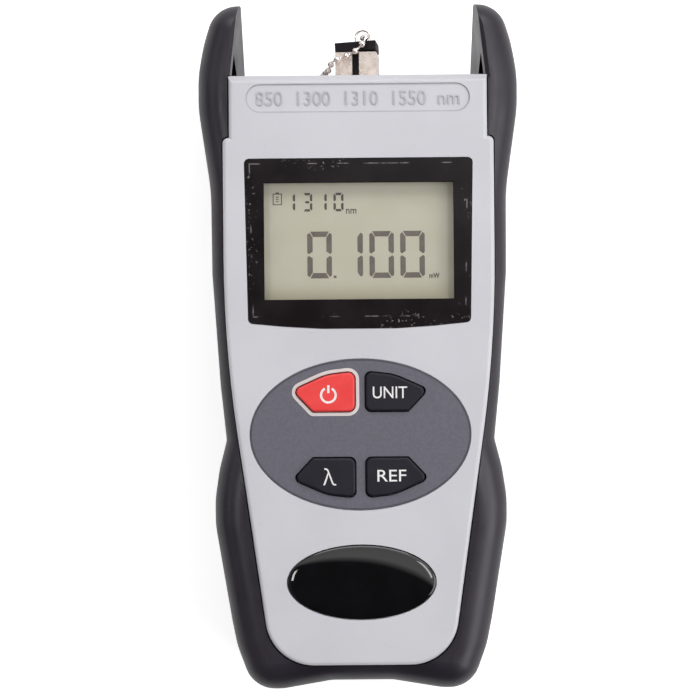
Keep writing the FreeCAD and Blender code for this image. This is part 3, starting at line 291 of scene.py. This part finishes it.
FINISHES = {
    "boot": rubber, "front_cover": cover_paint, "rear_cover": rear_paint, "battery_door": rear_paint,
    "display_window": window_material(), "window_gasket": foam, "lcd_panel": lcd_material(),
    "lcd_frame": frame_plastic, "contact_strips": foam, "main_board": laminate, "board_chips": chip,
    "dome_switches": contact_metal, "key_mat": silicone, "keypad_panel": overlay, "badge_label": label,
    "badge_dome": resin, "detector_housing": nickel, "photodiode": contact_metal,
    "adapter_body": nickel, "ferrule_sleeve": zirconia, "dust_cap": cap_rubber, "cap_ring": chain_metal,
    "chain_anchor": nickel, "battery_cells": jacket, "battery_contacts": contact_metal,
    "case_screws": screw_steel, "board_screws": screw_steel, "port_screws": screw_steel,
    "power_key": key_red, "unit_key": key_black, "wavelength_key": key_black,
    "reference_key": key_black,
}


def dress(thing, material):
    """Gives an object this one material."""
    thing.data.materials.clear()
    thing.data.materials.append(material)


for name, material in FINISHES.items():
    dress(CAD[name], material)


# ---------------------------------------------------------------- mesh tools

def piece(name, points, faces, material, body, slot, smooth=False):
    """One object from points in millimetres, in the given material; it rides on a body. slot is not
    used.
    """
    mesh = bpy.data.meshes.new(name)
    mesh.from_pydata((np.asarray(points, float) * MM).tolist(), [], faces)
    mesh.validate()
    mesh.update()
    if smooth:
        mesh.polygons.foreach_set("use_smooth", np.ones(len(mesh.polygons), bool))
    made = bpy.data.objects.new(name, mesh)
    bpy.context.scene.collection.objects.link(made)
    dress(made, material)
    if body:
        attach(made, body)
    return made


def plates(outlines, low, high):
    """Points and faces of upright prisms: each outline, listed anticlockwise, at low and at high."""
    points, faces, start = [], [], 0
    for outline in outlines:
        flat = np.asarray(outline, float)
        count = len(flat)
        for level in (low, high):
            points.append(np.column_stack([flat, np.full(count, level)]))
        near = np.arange(count)
        after = (near + 1) % count
        sides = np.column_stack([near, after, after + count, near + count]) + start
        faces += sides.tolist()
        faces += [(near[::-1] + start).tolist(), (near + count + start).tolist()]
        start += 2 * count
    return np.vstack(points), faces


def rounded(corners, steps=8):
    """Outline of a polygon with arcs for corners.

    An arc of radius r in a corner that turns by a starts r * tan(a / 2) before it; its points are a
    rotation about the arc's centre in equal steps.
    """
    outline = []
    count = len(corners)
    for i, (x, y, radius) in enumerate(corners):
        here = np.array([x, y])
        before = np.array(corners[i - 1][:2]) - here
        after = np.array(corners[(i + 1) % count][:2]) - here
        before, after = before / np.linalg.norm(before), after / np.linalg.norm(after)
        half = math.acos(np.clip(before @ after, -1, 1)) / 2
        centre = here + (before + after) / np.linalg.norm(before + after) * radius / math.sin(half)
        start = here + before * radius / math.tan(half) - centre
        end = here + after * radius / math.tan(half) - centre
        sweep = math.atan2(start[0] * end[1] - start[1] * end[0], start @ end)
        turn = np.linspace(0, sweep, steps)
        outline.append(centre + np.column_stack([start[0] * np.cos(turn) - start[1] * np.sin(turn),
                                                 start[0] * np.sin(turn) + start[1] * np.cos(turn)]))
    return np.vstack(outline)


def moved_out(outline, gap):
    """A closed anticlockwise outline moved outwards along the mean normal of its neighbours."""
    run = np.roll(outline, -1, 0) - np.roll(outline, 1, 0)
    run /= np.linalg.norm(run, axis=1)[:, None]
    return outline + gap * np.column_stack([run[:, 1], -run[:, 0]])


def band(inner, outer, low, high):
    """Points and faces of a flat ring between two outlines: a four-cornered profile carried round."""
    count = len(inner)
    rings = [(outer, low), (outer, high), (inner, high), (inner, low)]
    points = np.vstack([np.column_stack([line, np.full(count, level)]) for line, level in rings])
    near = np.arange(count)
    after = (near + 1) % count
    faces = [np.column_stack([near + a * count, after + a * count, after + b * count, near + b * count])
             for a, b in ((0, 1), (1, 2), (2, 3), (3, 0))]
    return points, np.vstack(faces).tolist()


# ---------------------------------------------------------------- display figures

# Which of the seven strokes a figure lights, as a to g: top, upper right, lower right, foot,
# lower left, upper left, middle.
STROKES = {"0": "abcdef", "1": "bc", "3": "abcdg"}


def strokes(figure, x, y, width, height, stroke, gap):
    """Outlines of one figure whose lower left corner is (x, y).

    Uprights end in a slope outside and a chamfer at the middle; level strokes are trapezia that
    narrow inwards by one stroke. gap is the clear space between strokes.
    """
    middle = y + height / 2
    cut = stroke * 0.3
    upright = np.array([(0, gap * 0.6 + cut), (cut, gap * 0.6), (stroke, gap * 0.6 + cut * 1.6),
                        (stroke, height / 2 - stroke - gap * 0.4), (cut * 1.4, height / 2 - gap),
                        (0, height / 2 - gap - cut)])
    level = np.array([(gap + cut, 0), (width - gap - cut, 0), (width - stroke - gap * 0.3, -stroke),
                      (stroke + gap * 0.3, -stroke)])
    bar = np.array([(stroke, 0), (stroke * 1.5, -stroke / 2), (width - stroke * 1.5, -stroke / 2),
                    (width - stroke, 0), (width - stroke * 1.5, stroke / 2), (stroke * 1.5, stroke / 2)])
    shapes = {
        "a": level + (x, y + height), "d": level * (1, -1) + (x, y), "g": bar + (x, middle),
        "f": upright + (x, middle), "e": upright * (1, -1) + (x, middle),
        "b": upright * (-1, 1) + (x + width, middle), "c": upright * (-1, -1) + (x + width, middle),
    }
    return [anticlockwise(shapes[key]) for key in STROKES[figure]]


def anticlockwise(outline):
    """The outline, reversed if its signed area is negative."""
    x, y = outline.T
    area = np.sum(x * np.roll(y, -1) - np.roll(x, -1) * y)
    return outline if area > 0 else outline[::-1]


def rectangle(left, low, right, high):
    """Outline of an upright rectangle, anticlockwise from its lower left corner."""
    return np.array([(left, low), (right, low), (right, high), (left, high)])


# The figures' size in millimetres: width, height, stroke and the clear space between strokes.
LARGE = (6.6, 12.6, 1.45, 0.35)
SMALL = (2.7, 5.0, 0.66, 0.3)
LARGE_FOOT, SMALL_FOOT = 18.4, 36.4
figure_low, figure_high = GLASS_TOP + 0.01, GLASS_TOP + 0.01 + FILM

large = []
for figure, middle in zip("0100", (-10.6, -2.25, 6.1, 14.4)):
    large += strokes(figure, middle - LARGE[0] / 2, LARGE_FOOT, *LARGE)
large.append(rectangle(-6.85, 18.45, -6.1, 19.15))      # decimal point
small = []
for figure, middle in zip("1310", (-18.4, -13.8, -9.9, -5.4)):
    small += strokes(figure, middle - SMALL[0] / 2, SMALL_FOOT, *SMALL)
# Battery sign: two sides, top, foot and cap, with three bars in it.
small += [rectangle(-23.1, 38.2, -22.85, 41.3), rectangle(-20.85, 38.2, -20.6, 41.3),
          rectangle(-22.85, 41.05, -20.85, 41.3), rectangle(-22.85, 38.2, -20.85, 38.42),
          rectangle(-22.3, 41.3, -21.4, 41.6)]
small += [rectangle(-22.2, level, -21.5, level + 0.25) for level in (39.0, 39.6, 40.2)]
piece("lcd_figures_large", *plates(large, figure_low, figure_high), segment_dark,
      "meter", "lcd_glass")
piece("lcd_figures_small", *plates(small, figure_low, figure_high), segment_fine,
      "meter", "lcd_glass")


# ---------------------------------------------------------------- words and marks

def words(name, text, centre, low, size, material, body, weight=0.0, bevel=0.0):
    """Raised words in Blender's own font, centred, with their foot at low.

    size is their length, height and depth in millimetres; weight thickens the strokes.
    """
    curve = bpy.data.curves.new(name, "FONT")
    curve.body = text
    curve.align_x, curve.align_y = "CENTER", "CENTER"
    curve.extrude = 0.5
    curve.offset = weight
    curve.bevel_depth = bevel
    curve.bevel_resolution = 1 if bevel else 0
    curve.resolution_u = 6
    holder = bpy.data.objects.new(name, curve)
    bpy.context.scene.collection.objects.link(holder)
    mesh = bpy.data.meshes.new_from_object(holder.evaluated_get(bpy.context.evaluated_depsgraph_get()))
    bpy.data.objects.remove(holder)
    points = np.empty(len(mesh.vertices) * 3, np.float32)
    mesh.vertices.foreach_get("co", points)
    points = points.reshape(-1, 3).astype(float)
    least, most = points.min(0), points.max(0)
    place = (points - (least + most) / 2) * (size / (most - least)) + (*centre, low + size[2] / 2)
    mesh.vertices.foreach_set("co", (place * MM).astype(np.float32).ravel())
    mesh.name = name
    mesh.update()
    made = bpy.data.objects.new(name, mesh)
    bpy.context.scene.collection.objects.link(made)
    dress(made, material)
    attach(made, body)


words("lcd_unit_power", "mW", (20.25, 18.95), figure_low, (2.8, 1.4, FILM), segment_fine,
      "meter", 0.03)
words("lcd_unit_length", "nm", (-2.0, 36.4), figure_low, (2.8, 1.3, FILM), segment_fine,
      "meter", 0.01)
# The raised numbers carry painted shade, a step darker than the cover.
words("title_numbers", "850  1300  1310  1550  nm", (0, 66.45), TITLE_FLOOR, (54.5, 3.8, 0.28),
      title_painted_shade, "meter", -0.02, 0.02)
words("unit_legend", "UNIT", (7.95, KEYPAD_Y + 11.2), KEY_TOP, (9.2, 3.15, FILM), print_white,
      "unit_key", 0.004)
words("reference_legend", "REF", (8.25, KEYPAD_Y - 11.0), KEY_TOP, (7.7, 3.1, FILM), print_white,
      "reference_key", 0.002)
words("wavelength_legend", "λ", (-8.3, KEYPAD_Y - 11.2), KEY_TOP, (3.5, 4.6, FILM), print_white,
      "wavelength_key", -0.008)


def arc_band(centre, radius, stroke, start, end, steps):
    """Outline of part of a ring: its outer arc forwards and its inner arc back."""
    turn = np.radians(np.linspace(start, end, steps))
    spoke = np.column_stack([np.cos(turn), np.sin(turn)])
    return np.vstack([spoke * (radius + stroke / 2), spoke[::-1] * (radius - stroke / 2)]) + centre


def side_by_side_plates(outline, low, high):
    """As plates, for one long thin outline whose two halves run side by side: quads join them."""
    count = len(outline)
    points = np.vstack([np.column_stack([outline, np.full(count, level)]) for level in (low, high)])
    near = np.arange(count)
    after = (near + 1) % count
    sides = np.column_stack([near, after, after + count, near + count])
    step = np.arange(count // 2 - 1)
    far = count - 1 - step
    top = np.column_stack([step, step + 1, far - 1, far])
    return points, np.vstack([sides, top + count, top[:, ::-1]]).tolist()


power_centre = np.array([-8.5, KEYPAD_Y + 10.6])
power_ring = arc_band(power_centre, 1.95, 0.6, 118, 422, 40)[::-1]      # open at the top
power_bar = rectangle(power_centre[0] - 0.3, power_centre[1] + 0.55,
                      power_centre[0] + 0.3, power_centre[1] + 2.65)
piece("power_symbol_ring", *side_by_side_plates(power_ring, KEY_TOP, KEY_TOP + FILM), print_white,
      "power_key", "key_red")
piece("power_symbol_bar", *plates([power_bar], KEY_TOP, KEY_TOP + FILM), print_white,
      "power_key", "key_red")


# The red key's plan is a wedge with its tall side by the middle: corners from the keypad's middle,
# and their radii.
POWER_KEY = ((-1.45, 6.2, 1.8), (-12.7, 6.2, 0.5), (-18.1, 11.9, 1.5), (-9.0, 15.95, 14.0),
             (-1.45, 16.8, 1.8))
power_outline = anticlockwise(rounded([(x, KEYPAD_Y + y, radius) for x, y, radius in POWER_KEY]))
piece("power_key_ring", *band(moved_out(power_outline, 0.32), moved_out(power_outline, 1.2),
                              FACE, FACE + FILM), print_cream, "meter", "panel_plastic")


# ---------------------------------------------------------------- painted shade of the groove and the overlay's edge, and the dome

def ellipse(long, short, centre_y, steps=160):
    """Outline of an ellipse on the middle line: (long * cos t, centre_y + short * sin t)."""
    turn = np.linspace(0, 2 * math.pi, steps, endpoint=False)
    return np.column_stack([long * np.cos(turn), centre_y + short * np.sin(turn)])


TITLE_HALF = (29.95, 3.8)       # half length and end radius of the title's recess
title_edge = rounded([(across * TITLE_HALF[0], 66.5 + along * TITLE_HALF[1], TITLE_HALF[1])
                      for across, along in ((1, -1), (1, 1), (-1, 1), (-1, -1))], 24)
# A 0.3 mm band of painted shade at the foot of the title recess's wall.
piece("title_groove_painted_shade", *band(moved_out(title_edge, -0.3), title_edge, TITLE_FLOOR, TITLE_FLOOR + FILM),
      groove_shade, "meter", "cover_plastic")
# A 0.4 mm band of painted shade round the overlay's edge.
piece("overlay_edge", *band(ellipse(29.05, 19.7, KEYPAD_Y), ellipse(29.45, 20.1, KEYPAD_Y),
                            FACE, FACE + FILM), edge_shade, "meter", "panel_plastic")

DOME_HALF = (19.9, 9.97)        # half axes of the badge's resin
DOME_RISE = 1.48
DOME_RINGS, DOME_AROUND = 40, 160


def poured_dome():
    """Poured resin: its height is 1.48 * (1 - r ** 2.6) ** 0.5 mm, where r runs from 0 to 1 at the rim.

    Rings crowd towards the rim as the sine of equal steps; a crown point and a foot point close it.
    """
    share = np.sin(np.linspace(0, math.pi / 2, DOME_RINGS + 1))[1:, None]
    turn = np.linspace(0, 2 * math.pi, DOME_AROUND, endpoint=False)
    foot = LABEL_TOP + 0.02
    level = foot + DOME_RISE * np.sqrt(np.maximum(1 - share ** 2.6, 0))
    rings = np.stack([DOME_HALF[0] * share * np.cos(turn), BADGE_Y + DOME_HALF[1] * share * np.sin(turn),
                      np.repeat(level, DOME_AROUND, 1)], -1).reshape(-1, 3)
    points = np.vstack([rings, (0, BADGE_Y, foot + DOME_RISE), (0, BADGE_Y, foot)])
    ring, near = np.meshgrid(np.arange(DOME_RINGS - 1) * DOME_AROUND, np.arange(DOME_AROUND),
                             indexing="ij")
    after = (near + 1) % DOME_AROUND
    quads = np.stack([ring + near, ring + DOME_AROUND + near, ring + DOME_AROUND + after,
                      ring + after], -1).reshape(-1, 4)
    near, after, rim = near[0], after[0], ring[-1, 0] + DOME_AROUND
    crown = np.column_stack([np.full(DOME_AROUND, len(rings)), near, after])
    under = np.column_stack([np.full(DOME_AROUND, len(rings) + 1), rim + after, rim + near])
    return points, quads.tolist() + crown.tolist() + under.tolist()


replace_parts(piece("badge_dome_poured", *poured_dome(), resin, "meter", "clear_resin", smooth=True),
            "badge_dome")


# ---------------------------------------------------------------- bead chain

def smooth_route(points, count):
    """count points evenly spaced along the natural cubic spline through points.

    The spline's second derivatives solve one tridiagonal system in chord length.
    """
    points = np.asarray(points, float)
    knots = np.concatenate([[0], np.cumsum(np.linalg.norm(np.diff(points, axis=0), axis=1))])
    gaps = np.diff(knots)
    size = len(points)
    matrix = np.eye(size)
    right = np.zeros_like(points)
    inner = np.arange(1, size - 1)
    matrix[inner, inner] = 2 * (gaps[:-1] + gaps[1:])
    matrix[inner, inner - 1] = gaps[:-1]
    matrix[inner, inner + 1] = gaps[1:]
    slopes = np.diff(points, axis=0) / gaps[:, None]
    right[inner] = 6 * (slopes[1:] - slopes[:-1])
    bends = np.linalg.solve(matrix, right)
    fine = np.linspace(0, knots[-1], 3000)
    at = np.clip(np.searchsorted(knots, fine, "right") - 1, 0, size - 2)
    u = (fine - knots[at])[:, None]
    v = (knots[at + 1] - fine)[:, None]
    h = gaps[at][:, None]
    line = (bends[at] * v ** 3 + bends[at + 1] * u ** 3) / (6 * h) \
        + (points[at] / h - bends[at] * h / 6) * v + (points[at + 1] / h - bends[at + 1] * h / 6) * u
    run = np.concatenate([[0], np.cumsum(np.linalg.norm(np.diff(line, axis=0), axis=1))])
    wanted = np.linspace(0, run[-1], count)
    return np.column_stack([np.interp(wanted, run, line[:, axis]) for axis in range(3)]), run[-1]


def swept(line, radii, around=14):
    """A tube of changing radius carried along a line, closed by a point at each end.

    Each ring lies across the line's direction; its first spoke is the last ring's, made square to
    the new direction, so that the tube doesn't twist.
    """
    along = np.gradient(line, axis=0)
    along /= np.linalg.norm(along, axis=1)[:, None]
    spoke = np.cross(along[0], (0.3, 0.2, 1.0))
    spokes = []
    for direction in along:
        spoke = spoke - direction * (spoke @ direction)
        spoke = spoke / np.linalg.norm(spoke)
        spokes.append(spoke)
    first = np.array(spokes)
    second = np.cross(along, first)
    turn = np.linspace(0, 2 * math.pi, around, endpoint=False)
    rings = line[:, None, :] + radii[:, None, None] * (first[:, None, :] * np.cos(turn)[None, :, None]
                                                      + second[:, None, :] * np.sin(turn)[None, :, None])
    count = len(line)
    points = np.vstack([rings.reshape(-1, 3), line[:1], line[-1:]])
    ring, spot = np.meshgrid(np.arange(count - 1), np.arange(around), indexing="ij")
    after = (spot + 1) % around
    quads = np.stack([ring * around + spot, ring * around + after, (ring + 1) * around + after,
                      (ring + 1) * around + spot], -1).reshape(-1, 4)
    near = np.arange(around)
    after = (near + 1) % around
    last = (count - 1) * around
    start_cap = np.column_stack([np.full(around, count * around), after, near])
    end_cap = np.column_stack([np.full(around, count * around + 1), last + near, last + after])
    return points, quads.tolist() + start_cap.tolist() + end_cap.tolist()


BEAD = 0.92             # radius of a bead
LINK = 0.28             # radius of the wire between beads
STEP = 2.75             # from bead to bead
RINGS = 14              # rings from one bead to the next

# The chain's route: places it passes, in millimetres, and its distance from each in units.
UNIT = 2.5
CAP = (0, 83.45, 28.9)          # the cap's upper edge, at the front
PORT = (-5.6, 83.45, 28.9)      # the adapter's upper left edge, at the front
CASE = (-5.6, 72.75, 28.9)      # where that edge meets the case
ANCHOR = (-17.0, 72.75, 10.0)   # the screw that holds the last bead
ROUTE = (
    (CAP, 0.64, 0.68, -1.88), (CAP, 0.84, 0.52, -0.88), (CAP, 0.92, 0.48, 0.12), (CAP, 0.8, 0, 0.64),
    (CAP, 0.2, -0.76, 0.56), (PORT, 1.4, -1.48, 0.36), (PORT, 0.36, -1.84, 0.24),
    (PORT, -0.44, -2.2, 0.04), (PORT, -0.76, -2.6, -0.72), (PORT, -1.12, -3.08, -1.64),
    (CASE, -1.4, 1.16, -2.64), (CASE, -1.76, 0.88, -3.8), (ANCHOR, 2.24, 0.72, 1.84),
    (ANCHOR, 1.76, 0.72, 0.36), (ANCHOR, 1.04, 0.8, -0.8), (ANCHOR, 0.08, 0.76, -1.32))
route = [np.array(base) + UNIT * np.array(steps) for base, *steps in ROUTE]
length = smooth_route(route, 2)[1]
gaps = round(length / STEP)
line, length = smooth_route(route, gaps * RINGS + 1)
place = np.arange(gaps * RINGS + 1) / RINGS
from_bead = np.abs(place - np.round(place)) * length / gaps
radii = np.maximum(LINK, np.sqrt(np.maximum(BEAD ** 2 - from_bead ** 2, 0)))
chain = piece("bead_chain_links", *swept(line, radii), chain_metal, None, "nickel", smooth=True)
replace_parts(chain, "bead_chain")
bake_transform(chain)


# ---------------------------------------------------------------- floor, light and camera

def floor_material():
    """Matt pale laminate. The camera also gets plain white, and gloss a quarter of it, to show white."""
    material, tree, out, place = blank("pale matt table laminate")
    skin = add(tree, "ShaderNodeBsdfPrincipled",
               {"Base Color": clouded(tree, place, "#F1F1F1", "#F4F4F4", 60, 0.3, 0.7),
                "Roughness": 0.8, "Specular IOR Level": 0.1})
    white = add(tree, "ShaderNodeEmission", {"Strength": 0.6})
    seen = add(tree, "ShaderNodeAddShader", {0: skin.outputs[0], 1: white.outputs[0]})
    rays = add(tree, "ShaderNodeLightPath").outputs
    clear = add(tree, "ShaderNodeMath", {0: rays["Is Camera Ray"], 1: rays["Is Transmission Ray"]},
                operation="MAXIMUM")
    gloss = add(tree, "ShaderNodeMath", {0: rays["Is Glossy Ray"], 1: 0.25}, operation="MULTIPLY")
    share = add(tree, "ShaderNodeMath", {0: clear.outputs[0], 1: gloss.outputs[0]},
                operation="MAXIMUM")
    mix = add(tree, "ShaderNodeMixShader", {0: share.outputs[0], 1: skin.outputs[0],
                                            2: seen.outputs[0]})
    tree.links.new(mix.outputs[0], out.inputs["Surface"])
    return material


FLOOR = 3000            # half the floor's width, in millimetres
floor = piece("floor", [(-FLOOR, -FLOOR, 0), (FLOOR, -FLOOR, 0), (FLOOR, FLOOR, 0), (-FLOOR, FLOOR, 0)],
              [(0, 1, 2, 3)], floor_material(), None, None)


def sky():
    """White to the camera and through clear pieces; soft and dim as light.

    To gloss its level is (0.9 z + 0.65) * h, where h goes from 0.04 to 1 as 0.6 x + y goes from 0.04
    to 0.16, so that it is bright towards the horns and the right, and at least 0.2 far to the left.
    """
    world = bpy.data.worlds.new("studio")
    world.use_nodes = True
    tree = world.node_tree
    tree.nodes.clear()
    way = add(tree, "ShaderNodeSeparateXYZ",
              {0: add(tree, "ShaderNodeTexCoord").outputs["Generated"]}).outputs
    head = add(tree, "ShaderNodeMath", {0: way["X"], 1: 0.6, 2: way["Y"]}, operation="MULTIPLY_ADD")
    high = add(tree, "ShaderNodeMapRange", {"Value": head.outputs[0], "From Min": 0.04,
                                            "From Max": 0.16, "To Min": 0.04, "To Max": 1.0})
    lift = add(tree, "ShaderNodeMath", {0: way["Z"], 1: 0.9, 2: 0.65}, operation="MULTIPLY_ADD")
    bright = add(tree, "ShaderNodeMath", {0: high.outputs["Result"], 1: lift.outputs[0]},
                 operation="MULTIPLY")
    left = add(tree, "ShaderNodeMapRange", {"Value": way["X"], "From Min": -0.35, "From Max": -0.6,
                                            "To Min": 0.0, "To Max": 0.2})
    level = add(tree, "ShaderNodeMath", {0: bright.outputs[0], 1: left.outputs["Result"]},
                operation="MAXIMUM")
    plain = {"Color": (1, 1, 1, 1)}
    soft = add(tree, "ShaderNodeBackground", {**plain, "Strength": 0.25})
    white = add(tree, "ShaderNodeBackground", {**plain, "Strength": 1.0})
    sheen = add(tree, "ShaderNodeBackground", {**plain, "Strength": level.outputs[0]})
    rays = add(tree, "ShaderNodeLightPath").outputs
    gloss = add(tree, "ShaderNodeMixShader", {0: rays["Is Glossy Ray"], 1: soft.outputs[0],
                                              2: sheen.outputs[0]})
    seen = add(tree, "ShaderNodeMath", {0: rays["Is Camera Ray"], 1: rays["Is Transmission Ray"]},
               operation="MAXIMUM")
    mix = add(tree, "ShaderNodeMixShader", {0: seen.outputs[0], 1: gloss.outputs[0],
                                            2: white.outputs[0]})
    tree.links.new(mix.outputs[0], add(tree, "ShaderNodeOutputWorld").inputs["Surface"])
    bpy.context.scene.world = world


def lamp(name, place, size, power):
    """An oblong soft light aimed at the middle of the meter; metres and watts."""
    data = bpy.data.lights.new(name, "AREA")
    data.shape = "RECTANGLE"
    data.size, data.size_y = size
    data.energy = power
    made = bpy.data.objects.new(name, data)
    made.location = place
    made.rotation_mode = "QUATERNION"
    made.rotation_quaternion = (Vector(LAMPS_AIM) - Vector(place)).to_track_quat("-Z", "Y")
    bpy.context.scene.collection.objects.link(made)


LAMPS_AIM = (0, 0, 0.03)
sky()
lamp("key_light", (0.7, 0.8, 0.9), (0.8, 0.8), 2.0)
lamp("top_light", (0.0, 0.8, 0.6), (0.9, 0.4), 3.6)
lamp("side_light", (0.9, -0.3, 0.6), (0.9, 0.6), 5.4)
lamp("fill_light", (-1.0, 0.2, 0.6), (1.0, 0.4), 1.0)
lamp("right_strip", (0.55, 0.15, 1.1), (0.5, 0.14), 2.0)
lamp("left_strip", (-0.55, 0.0, 1.1), (0.3, 0.12), 1.6)

DISTANCE = 480.0        # from the case's front to the lens, in millimetres
camera = bpy.data.cameras.new("camera")
camera.sensor_width = 36
camera.lens = 92.4
camera.shift_x = -0.014
camera.shift_y = -0.005
camera.clip_start = 0.01
camera.clip_end = 20
viewer = bpy.data.objects.new("camera", camera)
viewer.location = (0, 0, (FACE + DISTANCE) * MM)
viewer.rotation_euler = (0, 0, -0.0085)
bpy.context.scene.collection.objects.link(viewer)
bpy.context.scene.camera = viewer
bpy.context.scene.view_settings.view_transform = "Standard"
